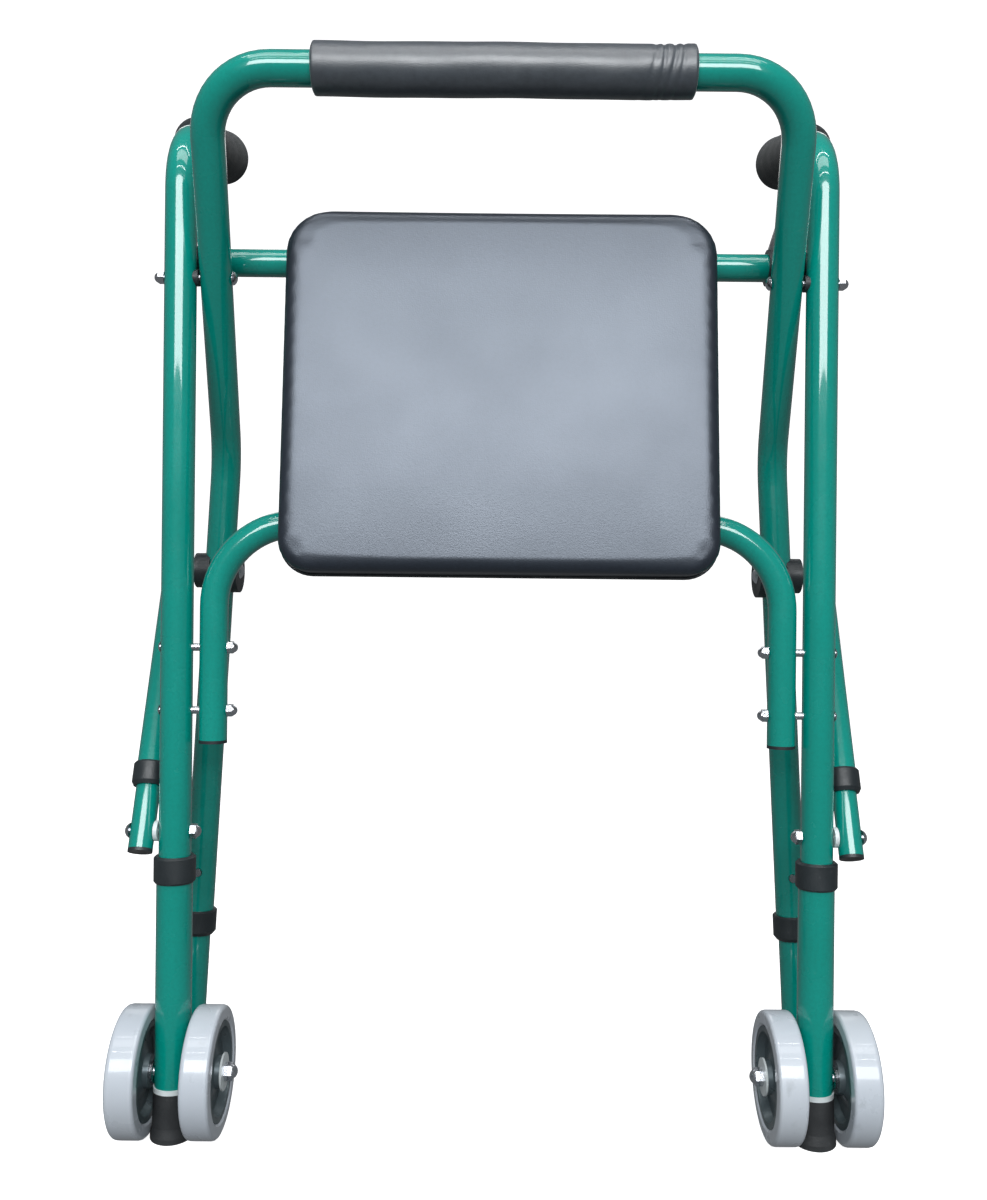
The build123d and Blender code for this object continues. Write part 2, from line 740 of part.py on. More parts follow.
def make_strut_outer(name, side):
    """The sliding tube, with the stub that meets the rear leg's brace disc."""
    outer = STRUT_OUTER / 2
    low, high = strut_ends(side)
    length = (spot(*high) - spot(*low)).length
    x, back, up = high
    with BuildPart() as strut_outer:
        straight_tube(strut_point(side, STRUT_COLLAR_AT), strut_point(side, length + 12.0),
                      outer, outer - WALL)
        stub = Plane(origin=spot(x - side * (outer + 2.6), back, up), x_dir=(0, 1, 0),
                     z_dir=(side, 0, 0))
        ring_bar(stub, 2 * outer + 3.0, 4.0)
        cap = facing(strut_point(side, length + 12.0), strut_point(side, 0))
        ring_bar(cap, 1.5, outer - WALL / 2)
    save(strut_outer, f"strut_outer_{name}")
    half = STRUT_COLLAR_LENGTH / 2
    slide = STRUT_INNER / 2 + 0.2
    with BuildPart() as strut_collar:
        turned(facing(strut_point(side, STRUT_COLLAR_AT), low), [
            (-half, outer + FIT_GAP),
            (-half, outer + 1.2),
            (-half + 1.5, outer + 2.4),
            (half - 3.0, outer + 2.4),
            (half, outer + 0.8),
            (half, slide),
            (FIT_GAP, slide),
            (FIT_GAP, outer + FIT_GAP),
        ])
    save(strut_collar, f"strut_collar_{name}")


# ----------------------------------------------------------------------- seat


def seat_plane(height):
    """The plane of the seat at a height in front of the cross bar's axis."""
    plane = Plane(
        origin=spot(0, 0, CROSS_BAR),
        x_dir=(1, 0, 0),
        z_dir=(0, -cos(SEAT_LEAN), sin(SEAT_LEAN)),
    )
    return plane.offset(height)


def seat_outline(inset):
    """A rounded oblong with wider corners at the top."""
    middle = (SEAT_LOW + SEAT_HIGH) / 2
    with Locations((0, middle)):
        Rectangle(SEAT_WIDTH - 2 * inset, SEAT_HIGH - SEAT_LOW - 2 * inset)


def make_seat_board():
    with BuildPart() as seat_board:
        with BuildSketch(seat_plane(SEAT_BACK_FACE)) as outline:
            seat_outline(BOARD_INSET)
            fillet(outline.vertices().group_by(Axis.Y)[0], PAD_CORNERS[0] - BOARD_INSET)
            fillet(outline.vertices().group_by(Axis.Y)[-1], PAD_CORNERS[1] - BOARD_INSET)
        extrude(amount=BOARD_THICKNESS)
        for x, y in screw_places():
            with Locations(seat_plane(0).from_local_coords(Vector(x, y, 20.0))):
                Cylinder(2.1, 12.3, rotation=(90 - LEAN - SEAT_TILT, 0, 0),
                         mode=Mode.SUBTRACT)
    save(seat_board, "seat_board")


def make_seat_pad():
    with BuildPart() as seat_pad:
        with BuildSketch(seat_plane(SEAT_BACK_FACE + BOARD_THICKNESS + FIT_GAP)) as outline:
            seat_outline(0)
            fillet(outline.vertices().group_by(Axis.Y)[0], PAD_CORNERS[0])
            fillet(outline.vertices().group_by(Axis.Y)[-1], PAD_CORNERS[1])
        extrude(amount=PAD_THICKNESS)
        faces = seat_pad.faces().sort_by(Axis(seat_plane(0).origin, seat_plane(0).z_dir))
        fillet(faces[-1].edges(), 12.0)
        fillet(faces[0].edges(), 6.0)
    save(seat_pad, "seat_pad")


def rest_bar_in_seat():
    """The rest bar's place in the seat's own directions: along it and in front."""
    bar = seat_plane(0).to_local_coords(spot(0, REST_BAR_BACK, REST_BAR_UP))
    return bar.Y, bar.Z


def screw_places():
    """Where the clamps' screws enter the board, across and along the seat."""
    rest_bar_along, _ = rest_bar_in_seat()
    return [
        (x, along + step)
        for x in (-CLAMP_SPREAD, CLAMP_SPREAD)
        for along, reach in ((0.0, 21.0), (rest_bar_along, 20.5))
        for step in (-reach, reach)
        if along == 0.0 or step < 0
    ]


def make_clamps(label, along, height, gap, lower, upper):
    """Two saddles that hold a bar under the board."""
    bar = CROSS_TUBE / 2
    with BuildPart() as clamps:
        for x in (-CLAMP_SPREAD, CLAMP_SPREAD):
            centre = seat_plane(0).from_local_coords(Vector(x, along, height))
            with Locations(centre):
                Cylinder(bar + 3.2, 24.0, rotation=(0, 90, 0))
            with BuildSketch(seat_plane(SEAT_BACK_FACE - FIT_GAP)):
                with Locations((x, along + (upper + lower) / 2)):
                    RectangleRounded(24.0, upper - lower, 3.0)
            extrude(amount=-2.8)
            with BuildSketch(seat_plane(SEAT_BACK_FACE - FIT_GAP)):
                with Locations((x, along)):
                    Rectangle(24.0, bar + 6.0)
            extrude(amount=height - SEAT_BACK_FACE)
            with Locations(centre):
                Cylinder(bar + gap, 40.0, rotation=(0, 90, 0), mode=Mode.SUBTRACT)
            # Nothing of the saddle enters the board.
            middle = seat_plane(SEAT_BACK_FACE - FIT_GAP)
            with BuildSketch(middle):
                with Locations((x, along)):
                    Rectangle(60.0, 120.0)
            extrude(amount=20.0, mode=Mode.SUBTRACT)
        for x, y in screw_places():
            with Locations(seat_plane(0).from_local_coords(Vector(x, y, SEAT_BACK_FACE))):
                Cylinder(2.1, 8.0, rotation=(90 - LEAN - SEAT_TILT, 0, 0),
                         mode=Mode.SUBTRACT)
    save(clamps, label)


def make_seat_screws():
    head_face = SEAT_BACK_FACE - 2.9
    with BuildPart() as seat_screws:
        for x, y in screw_places():
            place = seat_plane(0).from_local_coords(Vector(x, y, head_face - 0.1))
            plane = Plane(origin=place, x_dir=(1, 0, 0),
                          z_dir=(0, cos(SEAT_LEAN), -sin(SEAT_LEAN)))
            domed(plane, 4.0, 2.2, 2.0, 11.0)
    save(seat_screws, "seat_screws")


def make_rest_bar():
    """The bar that rests on the front legs when folded, on the rear ones when open."""
    back, up = REST_BAR_BACK, REST_BAR_UP
    bar = CROSS_TUBE / 2
    with BuildPart() as rest_bar:
        straight_tube((-REST_BAR_END, back, up), (REST_BAR_END, back, up), bar, bar - WALL)
    save(rest_bar, "rest_bar")
    length = REST_BAR_END - SLEEVE_START
    with BuildPart() as rest_bar_sleeves:
        for _, side in SIDES:
            plane = cross_plane(side, SLEEVE_START, back, up)
            turned(plane, [
                (0, bar + FIT_GAP),
                (0, bar + 3.6),
                (3.0, bar + 3.6),
                (4.0, REST_SLEEVE_RADIUS),
                (length + 2.0, REST_SLEEVE_RADIUS),
                (length + 3.5, REST_SLEEVE_RADIUS - 1.5),
                (length + 3.5, 0),
                (length + FIT_GAP, 0),
                (length + FIT_GAP, bar + FIT_GAP),
            ])
    save(rest_bar_sleeves, "rest_bar_sleeves")




def make_fold_latch():
    """A tapered finger whose ring turns on the rest bar, behind the rear frame."""
    bar = CROSS_TUBE / 2
    start, end = LATCH_RING
    ring = cross_plane(1, start, REST_BAR_BACK, REST_BAR_UP)
    finger = Plane(
        origin=spot(0, REST_BAR_BACK + 3.5, 0),
        x_dir=(1, 0, 0),
        z_dir=spot(0, 0, 0) - spot(0, 1, 0),
    )
    with BuildPart() as fold_latch:
        ring_bar(ring, end - start, bar + 3.4)
        with BuildSketch(finger):
            with BuildLine():
                Polyline(*LATCH_OUTLINE, LATCH_OUTLINE[0])
            make_face()
        extrude(amount=7.0)
        ring_bar(ring.offset(-1.0), end - start + 2.0, bar + 0.2, mode=Mode.SUBTRACT)
    save(fold_latch, "fold_latch")


def main():
    os.makedirs("parts", exist_ok=True)
    for name, side in SIDES:
        make_front_tube(name, side)
        make_front_lower_leg(name, side)
        make_front_leg_collar(name, side)
        make_front_tip_and_ring(name, side)
        make_axle_fasteners(name, side)
        make_axle_washers(name, side)
        for place, middle in wheel_middles():
            make_wheel(name, side, place, middle)
        make_rear_lower_leg(name, side)
        make_rear_leg_tip(name, side)
        make_spring_button(
            f"front_leg_button_{name}", (side * FRONT_SPREAD, 0, FRONT_BUTTON_UP),
            True, MAIN_TUBE / 2 - WALL, FRONT_SLEEVE / 2,
        )
        make_spring_button(
            f"rear_leg_button_{name}", rear_leg_point(side, REAR_BUTTON_UP),
            False, CROSS_TUBE / 2 - WALL, MAIN_TUBE / 2,
        )
        make_strut_inner(name, side)
        make_strut_outer(name, side)
    make_hand_grips()
    make_lower_cross_tube()
    make_cross_tube_plugs()
    make_cross_tube_bolts()
    make_frame_nuts()
    make_pivot_bolts()
    make_pivot_spacers()
    make_strut_pivot_bolts()
    make_strut_washers()
    make_back_frame_tube()
    make_backrest_foam()
    make_brace_discs()
    make_brace_bolts()
    make_rear_collars()
    make_seat_board()
    make_seat_pad()
    make_clamps("seat_hinge_clamps", 0.0, 0.0, 0.15, -28.0, 28.0)
    along, height = rest_bar_in_seat()
    make_clamps("rest_bar_clips", along, height, FIT_GAP, -27.0, 11.0)
    make_seat_screws()
    make_rest_bar()
    make_fold_latch()


main()
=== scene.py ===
"""Looks of the front wheeled walker: soft pieces, materials, light and camera."""

import json
import math

import bmesh
import bpy
from mathutils import Matrix, Vector


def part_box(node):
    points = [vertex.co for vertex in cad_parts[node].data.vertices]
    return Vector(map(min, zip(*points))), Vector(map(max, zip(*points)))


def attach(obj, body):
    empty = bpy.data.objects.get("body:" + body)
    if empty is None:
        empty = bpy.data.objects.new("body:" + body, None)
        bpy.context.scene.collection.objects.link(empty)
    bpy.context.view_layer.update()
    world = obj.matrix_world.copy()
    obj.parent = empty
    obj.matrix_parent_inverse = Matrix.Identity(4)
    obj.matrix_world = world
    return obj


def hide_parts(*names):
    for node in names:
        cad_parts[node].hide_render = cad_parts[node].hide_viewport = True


LEAN = math.radians(5.0)  # the front legs lean back at the top
SEAT_LEAN = math.radians(11.5)

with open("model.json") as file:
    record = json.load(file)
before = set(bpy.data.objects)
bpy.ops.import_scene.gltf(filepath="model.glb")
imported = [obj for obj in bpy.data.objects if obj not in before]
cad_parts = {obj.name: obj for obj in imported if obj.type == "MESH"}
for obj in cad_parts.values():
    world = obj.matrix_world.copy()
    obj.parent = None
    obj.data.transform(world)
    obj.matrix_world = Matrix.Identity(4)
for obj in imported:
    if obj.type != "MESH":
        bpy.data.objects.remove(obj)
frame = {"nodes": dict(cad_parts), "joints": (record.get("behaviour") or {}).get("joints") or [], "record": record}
NODES = frame["nodes"]
JOINTS = {joint["name"]: joint for joint in frame["joints"]}
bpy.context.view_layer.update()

PIVOT = Vector((0.0, *JOINTS["frame_fold"]["pos_m"][1:]))
SEAT_HINGE = Vector((0.0, *JOINTS["seat_fold"]["pos_m"][1:]))
LEG_BACK = Vector((0.0, math.cos(LEAN), -math.sin(LEAN)))
LEG_UP = Vector((0.0, math.sin(LEAN), math.cos(LEAN)))
SEAT_UP = Vector((0.0, math.sin(SEAT_LEAN), math.cos(SEAT_LEAN)))
SEAT_FRONT = Vector((0.0, -math.cos(SEAT_LEAN), math.sin(SEAT_LEAN)))
ACROSS = Vector((1.0, 0.0, 0.0))


def leg_point(x, back, up):
    """A point from leg coordinates, all from the main pivot."""
    return PIVOT + ACROSS * x + LEG_BACK * back + LEG_UP * up


def seat_point(x, along, front):
    """A point from the seat's own directions, from the bar that it hinges on."""
    return SEAT_HINGE + ACROSS * x + SEAT_UP * along + SEAT_FRONT * front


# ------------------------------------------------------------------ materials


class Shader:
    """A Principled material with small procedural layers added one by one."""

    def __init__(self, name, colour, roughness, **sockets):
        self.material = bpy.data.materials.new(name)
        self.material.use_nodes = True
        self.nodes = self.material.node_tree.nodes
        self.links = self.material.node_tree.links
        self.shader = self.nodes["Principled BSDF"]
        self.colour = (*colour, 1.0)
        self.shader.inputs["Base Color"].default_value = self.colour
        self.shader.inputs["Roughness"].default_value = roughness
        for socket, value in sockets.items():
            self.shader.inputs[socket.replace("_", " ")].default_value = value
        self.place = self.nodes.new("ShaderNodeTexCoord").outputs["Object"]
        self.normal = None
        self.tint = None

    def mapped(self, stretch):
        node = self.nodes.new("ShaderNodeMapping")
        node.inputs["Scale"].default_value = stretch
        self.links.new(self.place, node.inputs["Vector"])
        return node.outputs["Vector"]

    def noise(self, scale, detail=3.0, stretch=(1, 1, 1)):
        node = self.nodes.new("ShaderNodeTexNoise")
        node.inputs["Scale"].default_value = scale
        node.inputs["Detail"].default_value = detail
        self.links.new(self.mapped(stretch), node.inputs["Vector"])
        return node.outputs["Fac"]

    def cells(self, scale):
        node = self.nodes.new("ShaderNodeTexVoronoi")
        node.inputs["Scale"].default_value = scale
        self.links.new(self.mapped((1, 1, 1)), node.inputs["Vector"])
        return node.outputs["Distance"]

    def spread(self, value, low, high, start=0.3, end=0.7):
        node = self.nodes.new("ShaderNodeMapRange")
        node.inputs["From Min"].default_value = start
        node.inputs["From Max"].default_value = end
        node.inputs["To Min"].default_value = low
        node.inputs["To Max"].default_value = high
        self.links.new(value, node.inputs["Value"])
        return node.outputs["Result"]

    def blotch(self, value, colour, amount, start=0.4, end=0.75):
        """Lets another colour through where a texture value is high."""
        mix = self.nodes.new("ShaderNodeMix")
        mix.data_type = "RGBA"
        mix.inputs["B"].default_value = (*colour, 1.0)
        if self.tint is None:
            mix.inputs["A"].default_value = self.colour
        else:
            self.links.new(self.tint, mix.inputs["A"])
        self.links.new(self.spread(value, 0.0, amount, start, end), mix.inputs["Factor"])
        self.tint = mix.outputs["Result"]
        self.links.new(self.tint, self.shader.inputs["Base Color"])
        return self

    def polish(self, value, low, high):
        """Varies the roughness between two values."""
        self.links.new(self.spread(value, low, high), self.shader.inputs["Roughness"])
        return self

    def bump(self, value, strength, height):
        node = self.nodes.new("ShaderNodeBump")
        node.inputs["Strength"].default_value = strength
        node.inputs["Distance"].default_value = height
        self.links.new(value, node.inputs["Height"])
        if self.normal is not None:
            self.links.new(self.normal, node.inputs["Normal"])
        self.normal = node.outputs["Normal"]
        self.links.new(self.normal, self.shader.inputs["Normal"])
        return self


def green_paint():
    """Glossy powder coat: orange peel, faint clouding and a few dull rubs."""
    paint = Shader("green_powder_coat", (0.0, 0.240, 0.192), 0.24,
                   Specular_IOR_Level=0.2, Coat_Weight=1.0, Coat_Roughness=0.05,
                   Coat_IOR=1.62)
    paint.blotch(paint.noise(9.0), (0.0, 0.282, 0.230), 0.6)
    paint.blotch(paint.noise(420.0, 2.0), (0.0, 0.185, 0.148), 0.35)
    paint.blotch(paint.noise(60.0, 6.0), (0.08, 0.27, 0.22), 0.22, 0.68, 0.8)
    paint.polish(paint.noise(35.0, 5.0), 0.18, 0.34)
    paint.bump(paint.noise(650.0, 2.0), 0.07, 0.0003)
    return paint.material


def zinc():
    """Bright plated steel with a faint blue bloom and fine turning marks."""
    metal = Shader("bright_zinc", (0.63, 0.65, 0.68), 0.22, Metallic=1.0)
    metal.blotch(metal.noise(260.0), (0.50, 0.53, 0.60), 0.7)
    metal.blotch(metal.noise(90.0, 5.0), (0.62, 0.58, 0.46), 0.4, 0.6, 0.75)
    metal.polish(metal.noise(300.0), 0.14, 0.34)
    metal.bump(metal.noise(500.0, 2.0, (8, 1, 1)), 0.15, 0.0002)
    return metal.material


def spring_steel():
    metal = Shader("plated_spring_steel", (0.42, 0.43, 0.46), 0.3, Metallic=1.0)
    metal.blotch(metal.noise(200.0), (0.30, 0.31, 0.34), 0.6)
    metal.polish(metal.noise(220.0), 0.22, 0.4)
    return metal.material


def black_plastic():
    """Moulded polypropylene with a fine spark-eroded grain."""
    plastic = Shader("black_moulded_plastic", (0.014, 0.019, 0.022), 0.42)
    plastic.blotch(plastic.noise(25.0), (0.028, 0.035, 0.039), 0.7)
    plastic.blotch(plastic.noise(150.0, 5.0), (0.07, 0.075, 0.08), 0.4, 0.66, 0.8)
    plastic.polish(plastic.noise(80.0), 0.34, 0.55)
    plastic.bump(plastic.cells(1100.0), 0.25, 0.0003)
    return plastic.material


def grip_foam():
    """Closed-cell foam: dull, with open pores and rubbed lighter patches."""
    foam = Shader("grip_foam", (0.017, 0.022, 0.025), 0.85, Specular_IOR_Level=0.35,
                  Sheen_Weight=0.08, Sheen_Roughness=0.5)
    foam.blotch(foam.noise(30.0), (0.032, 0.038, 0.042), 0.8)
    foam.blotch(foam.cells(1300.0), (0.008, 0.010, 0.011), 0.5, 0.3, 0.6)
    foam.polish(foam.noise(60.0), 0.75, 0.95)
    foam.bump(foam.cells(900.0), 0.6, 0.0006).bump(foam.noise(90.0), 0.3, 0.0010)
    return foam.material


def sleeve_foam():
    """The backrest's smooth-skinned foam, charcoal with a soft satin sheen."""
    foam = Shader("backrest_foam_skin", (0.048, 0.058, 0.070), 0.40, Specular_IOR_Level=1.0,
                  Sheen_Weight=0.1, Sheen_Roughness=0.4)
    foam.blotch(foam.noise(14.0), (0.055, 0.066, 0.076), 0.7)
    foam.blotch(foam.noise(220.0, 4.0), (0.024, 0.030, 0.036), 0.5)
    foam.polish(foam.noise(40.0, 5.0), 0.32, 0.46)
    foam.bump(foam.cells(1000.0), 0.22, 0.0003)
    foam.bump(foam.noise(45.0, 4.0, (0.4, 1, 1)), 0.14, 0.0010)
    return foam.material


def seat_vinyl():
    """Black upholstery vinyl: fine woven grain, satin, cool in its reflections."""
    vinyl = Shader("seat_vinyl", (0.009, 0.013, 0.020), 0.33, Specular_IOR_Level=1.0,
                   Specular_Tint=(0.80, 0.88, 1.0, 1.0))
    vinyl.blotch(vinyl.noise(7.0, 4.0), (0.014, 0.019, 0.028), 0.8)
    vinyl.blotch(vinyl.noise(380.0, 3.0), (0.005, 0.007, 0.011), 0.5)
    vinyl.polish(vinyl.noise(11.0, 7.0), 0.31, 0.37)
    vinyl.bump(vinyl.cells(1150.0), 0.14, 0.00025)
    vinyl.bump(vinyl.noise(900.0, 3.0, (1, 0.35, 0.35)), 0.12, 0.0003)
    vinyl.bump(vinyl.noise(900.0, 3.0, (0.35, 1, 1)), 0.12, 0.0003)
    return vinyl.material


def piping_vinyl():
    """The welt's glossier vinyl, lighter than the seat's and patched paler: painted highlight for the glint along
    the welt.
    """
    # painted highlight: the lighter base colour and the pale patches stand in for the glint along the welt
    welt = Shader("seat_piping_vinyl", (0.020, 0.026, 0.034), 0.22, Specular_IOR_Level=0.8)
    welt.blotch(welt.noise(55.0, 4.0), (0.16, 0.18, 0.19), 0.5, 0.5, 0.75)
    welt.polish(welt.noise(120.0), 0.16, 0.3)
    welt.bump(welt.noise(700.0, 3.0), 0.15, 0.0002)
    return welt.material


def seat_plywood():
    """The board's back: stained plywood with long grain and small knots."""
    wood = Shader("seat_plywood", (0.235, 0.150, 0.085), 0.62)
    wood.blotch(wood.noise(30.0, 6.0, (1, 1, 14)), (0.120, 0.070, 0.038), 0.85, 0.35, 0.7)
    wood.blotch(wood.noise(12.0, 3.0, (1, 1, 3)), (0.330, 0.235, 0.150), 0.6)
    wood.polish(wood.noise(90.0), 0.5, 0.75)
    wood.bump(wood.noise(140.0, 4.0, (1, 1, 14)), 0.35, 0.0006)
    return wood.material


def tyre_grey():
    """Light grey solid tyre, smooth with faint scuffs and a duller tread."""
    tyre = Shader("light_grey_tyre", (0.50, 0.545, 0.60), 0.3, Coat_Weight=0.5,
                  Coat_Roughness=0.05)
    tyre.blotch(tyre.noise(14.0), (0.57, 0.61, 0.645), 0.7)
    tyre.blotch(tyre.noise(70.0, 6.0), (0.27, 0.30, 0.31), 0.4, 0.62, 0.78)
    tyre.polish(tyre.noise(50.0, 4.0), 0.22, 0.42)
    tyre.bump(tyre.noise(240.0, 3.0), 0.08, 0.0004)
    return tyre.material


def hub_plastic():
    """Slate-grey hub with a half-metallic fleck."""
    hub = Shader("slate_hub", (0.085, 0.115, 0.128), 0.36, Metallic=0.35)
    hub.blotch(hub.noise(26.0), (0.135, 0.170, 0.182), 0.8)
    hub.blotch(hub.noise(120.0, 5.0), (0.30, 0.33, 0.34), 0.4, 0.62, 0.8)
    hub.polish(hub.noise(70.0), 0.26, 0.5)
    hub.bump(hub.noise(500.0, 3.0), 0.3, 0.0003)
    return hub.material


def white_nylon():
    nylon = Shader("white_nylon", (0.66, 0.72, 0.73), 0.4)
    nylon.blotch(nylon.noise(80.0), (0.52, 0.57, 0.57), 0.6)
    nylon.polish(nylon.noise(60.0), 0.3, 0.5)
    nylon.bump(nylon.noise(400.0), 0.15, 0.0003)
    return nylon.material


def tip_rubber():
    """Black rubber with a grey dusty bloom where it meets the floor."""
    rubber = Shader("tip_rubber", (0.014, 0.016, 0.018), 0.7)
    rubber.blotch(rubber.noise(28.0, 5.0), (0.045, 0.048, 0.050), 0.8)
    rubber.blotch(rubber.noise(160.0, 5.0), (0.09, 0.09, 0.088), 0.4, 0.62, 0.8)
    rubber.polish(rubber.noise(50.0), 0.58, 0.85)
    rubber.bump(rubber.noise(600.0, 3.0), 0.4, 0.0005)
    return rubber.material


def studio_white():
    """Pale paper that glows a little, so that floor and wall look equally bright."""
    paper = Shader("studio_white", (0.80, 0.80, 0.80), 0.9)
    paper.blotch(paper.noise(3.0), (0.78, 0.78, 0.785), 0.5)
    paper.shader.inputs["Emission Color"].default_value = (1.0, 1.0, 1.0, 1.0)
    paper.shader.inputs["Emission Strength"].default_value = 0.85
    return paper.material


MATERIALS = {
    "green_paint": green_paint(),
    "black_foam": grip_foam(),
    "backrest_foam": sleeve_foam(),
    "black_plastic": black_plastic(),
    "zinc": zinc(),
    "spring_steel": spring_steel(),
    "pale_plastic": white_nylon(),
    "rubber_tip": tip_rubber(),
    "tyre_grey": tyre_grey(),
    "hub_plastic": hub_plastic(),
    "seat_vinyl": seat_vinyl(),
    "seat_board": seat_plywood(),
}


def dress_cad_nodes():
    for part in frame["record"]["subparts"]:
        for slot in NODES[part["node"]].material_slots:
            slot.material = MATERIALS[part["material_slot"]]


# ---------------------------------------------------------------- mesh helpers


def new_piece(name, mesh, body, slot, *replaced, look=None):
    piece = bpy.data.objects.new(name, mesh)
    bpy.context.scene.collection.objects.link(piece)
    piece.data.materials.append(look or MATERIALS[slot])
    for polygon in piece.data.polygons:
        polygon.use_smooth = True
    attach(piece, body)
    if replaced:
        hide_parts(*replaced)
    return piece


def lofted(name, rings, closed_start=False, closed_end=False):
    """A mesh through rings of the same number of points."""
    bm = bmesh.new()
    rows = [[bm.verts.new(point) for point in ring] for ring in rings]
    for row, following in zip(rows, rows[1:]):
        for i, vertex in enumerate(row):
            after = (i + 1) % len(row)
            bm.faces.new((vertex, row[after], following[after], following[i]))
    if closed_start:
        bm.faces.new(rows[0][::-1])
    if closed_end:
        bm.faces.new(rows[-1])
    bmesh.ops.recalc_face_normals(bm, faces=bm.faces)
    mesh = bpy.data.meshes.new(name)
    bm.to_mesh(mesh)
    bm.free()
    return mesh


def applied(piece):
    """Replaces a piece's mesh by what its modifiers make of it."""
    evaluated = piece.evaluated_get(bpy.context.evaluated_depsgraph_get())
    mesh = bpy.data.meshes.new_from_object(evaluated)
    piece.modifiers.clear()
    piece.data = mesh
    for polygon in mesh.polygons:
        polygon.use_smooth = True
    return mesh


CLOTH_FRAMES = 20
CLOTH_VOXEL = 0.0032
CLOTH_PRESSURE = 1.2
CLOTH_LIFT = 0.0006  # the most that any point of the pad is allowed to rise


def swell_as_cloth(piece, is_fixed):
    """Blows a closed piece up as stretched cloth, fixed where it is stapled down."""
    voxels = piece.modifiers.new("voxels", "REMESH")
    voxels.mode = "VOXEL"
    voxels.voxel_size = CLOTH_VOXEL
    mesh = applied(piece)
    rest = [vertex.co.copy() for vertex in mesh.vertices]
    fixed = piece.vertex_groups.new(name="fixed")
    fixed.add([i for i, place in enumerate(rest) if is_fixed(place)], 1.0, "REPLACE")
    cloth = piece.modifiers.new("cloth", "CLOTH")
    cloth.settings.quality = 6
    cloth.settings.mass = 0.2
    cloth.settings.tension_stiffness = 60.0
    cloth.settings.compression_stiffness = 60.0
    cloth.settings.bending_stiffness = 20.0
    cloth.settings.vertex_group_mass = "fixed"
    cloth.settings.use_pressure = True
    cloth.settings.uniform_pressure_force = CLOTH_PRESSURE
    cloth.settings.effector_weights.gravity = 0.0
    cloth.point_cache.frame_end = CLOTH_FRAMES
    scene = bpy.context.scene
    for step in range(1, CLOTH_FRAMES + 1):
        scene.frame_set(step)
    swollen = applied(piece)
    for vertex, start in zip(swollen.vertices, rest):
        move = vertex.co - start
        if move.length > CLOTH_LIFT:
            vertex.co = start + move * (CLOTH_LIFT / move.length)
    piece.vertex_groups.clear()
    scene.frame_set(1)
    smoother = piece.modifiers.new("smoother", "SUBSURF")
    smoother.levels = smoother.render_levels = 1
    applied(piece)


def circle_ring(centre, first, second, radius, count=64):
    turn = 2 * math.pi / count
    return [
        centre + (first * math.cos(i * turn) + second * math.sin(i * turn)) * radius
        for i in range(count)
    ]


def crease(x, place, width):
    return math.exp(-(((x - place) / width) ** 2))


# ----------------------------------------------------------------------- seat

SEAT_LOW, SEAT_HIGH = -0.0448, 0.2365
SEAT_HALF_WIDTH = 0.166
CORNERS = (0.026, 0.034)  # lower and upper
BOARD_FRONT = 0.0261
PAD_FRONT = 0.0541
PAD_ROUND = 0.0085
PAD_CROWN = 0.0008  # how far the face's middle stands out
PAD_BELLY = 0.0012  # how far the sides pull in below the rim
ROUND_STEPS = 10  # points along each corner
SIDE_STEPS = 26  # points along each side


def seat_outline(inset):
    """Points (x, along) round the seat, inset from its edge, wider at the top."""
    half = SEAT_HALF_WIDTH - inset
    low, high = SEAT_LOW + inset, SEAT_HIGH - inset
    lower, upper = (max(radius - inset, 0.004) for radius in CORNERS)
    corners = (
        (half - lower, low + lower, lower, -90.0),
        (half - upper, high - upper, upper, 0.0),
        (-half + upper, high - upper, upper, 90.0),
        (-half + lower, low + lower, lower, 180.0),
    )
    points = []
    for index, (x, along, radius, start) in enumerate(corners):
        for step in range(ROUND_STEPS + 1):
            angle = math.radians(start + 90.0 * step / ROUND_STEPS)
            points.append((x + radius * math.cos(angle), along + radius * math.sin(angle)))
        next_x, next_along, next_radius, next_start = corners[(index + 1) % 4]
        angle = math.radians(next_start)
        goal = (next_x + next_radius * math.cos(angle),
                next_along + next_radius * math.sin(angle))
        here = points[-1]
        for step in range(1, SIDE_STEPS):
            share = step / SIDE_STEPS
            points.append((here[0] + (goal[0] - here[0]) * share,
                           here[1] + (goal[1] - here[1]) * share))
    return points


def seat_ring(inset, front):
    return [seat_point(x, along, front) for x, along in seat_outline(inset)]


def shrunk_ring(share, front):
    """The innermost outline drawn in towards the seat's middle."""
    middle = (SEAT_LOW + SEAT_HIGH) / 2
    return [
        seat_point(x * share, middle + (along - middle) * share, front)
        for x, along in seat_outline(PAD_ROUND)
    ]


def make_seat_cushion():
    """A firm crowned pad: flat back on the board, rounded rim, taut face."""
    depth = PAD_FRONT - BOARD_FRONT
    rings = [shrunk_ring(share, BOARD_FRONT) for share in (0.2, 0.6, 0.9)]
    rings.append(seat_ring(0.010, BOARD_FRONT))
    rings.append(seat_ring(0.004, BOARD_FRONT + 0.0010))
    rings.append(seat_ring(0.0015, BOARD_FRONT + 0.0035))
    for share in (0.25, 0.4, 0.52):
        rings.append(seat_ring(PAD_BELLY * math.sin(share * math.pi), BOARD_FRONT
                               + depth * share))
    rim = PAD_FRONT - PAD_ROUND - PAD_CROWN
    for step in range(1, 9):
        angle = math.radians(90.0 * step / 8)
        rings.append(seat_ring(PAD_ROUND * (1 - math.cos(angle)),
                               rim + PAD_ROUND * math.sin(angle)))
    for share in (0.96, 0.86, 0.78, 0.7, 0.6, 0.5, 0.4, 0.3, 0.2, 0.1):
        rings.append(shrunk_ring(share, PAD_FRONT - PAD_CROWN + PAD_CROWN * (1 - share ** 3)))
    mesh = lofted("seat_cushion", rings, True, True)
    cushion = new_piece("seat_cushion", mesh, "seat", "seat_vinyl", "seat_pad")
    edge = BOARD_FRONT + 0.003
    swell_as_cloth(cushion, lambda place: (place - SEAT_HINGE).dot(SEAT_FRONT) < edge)


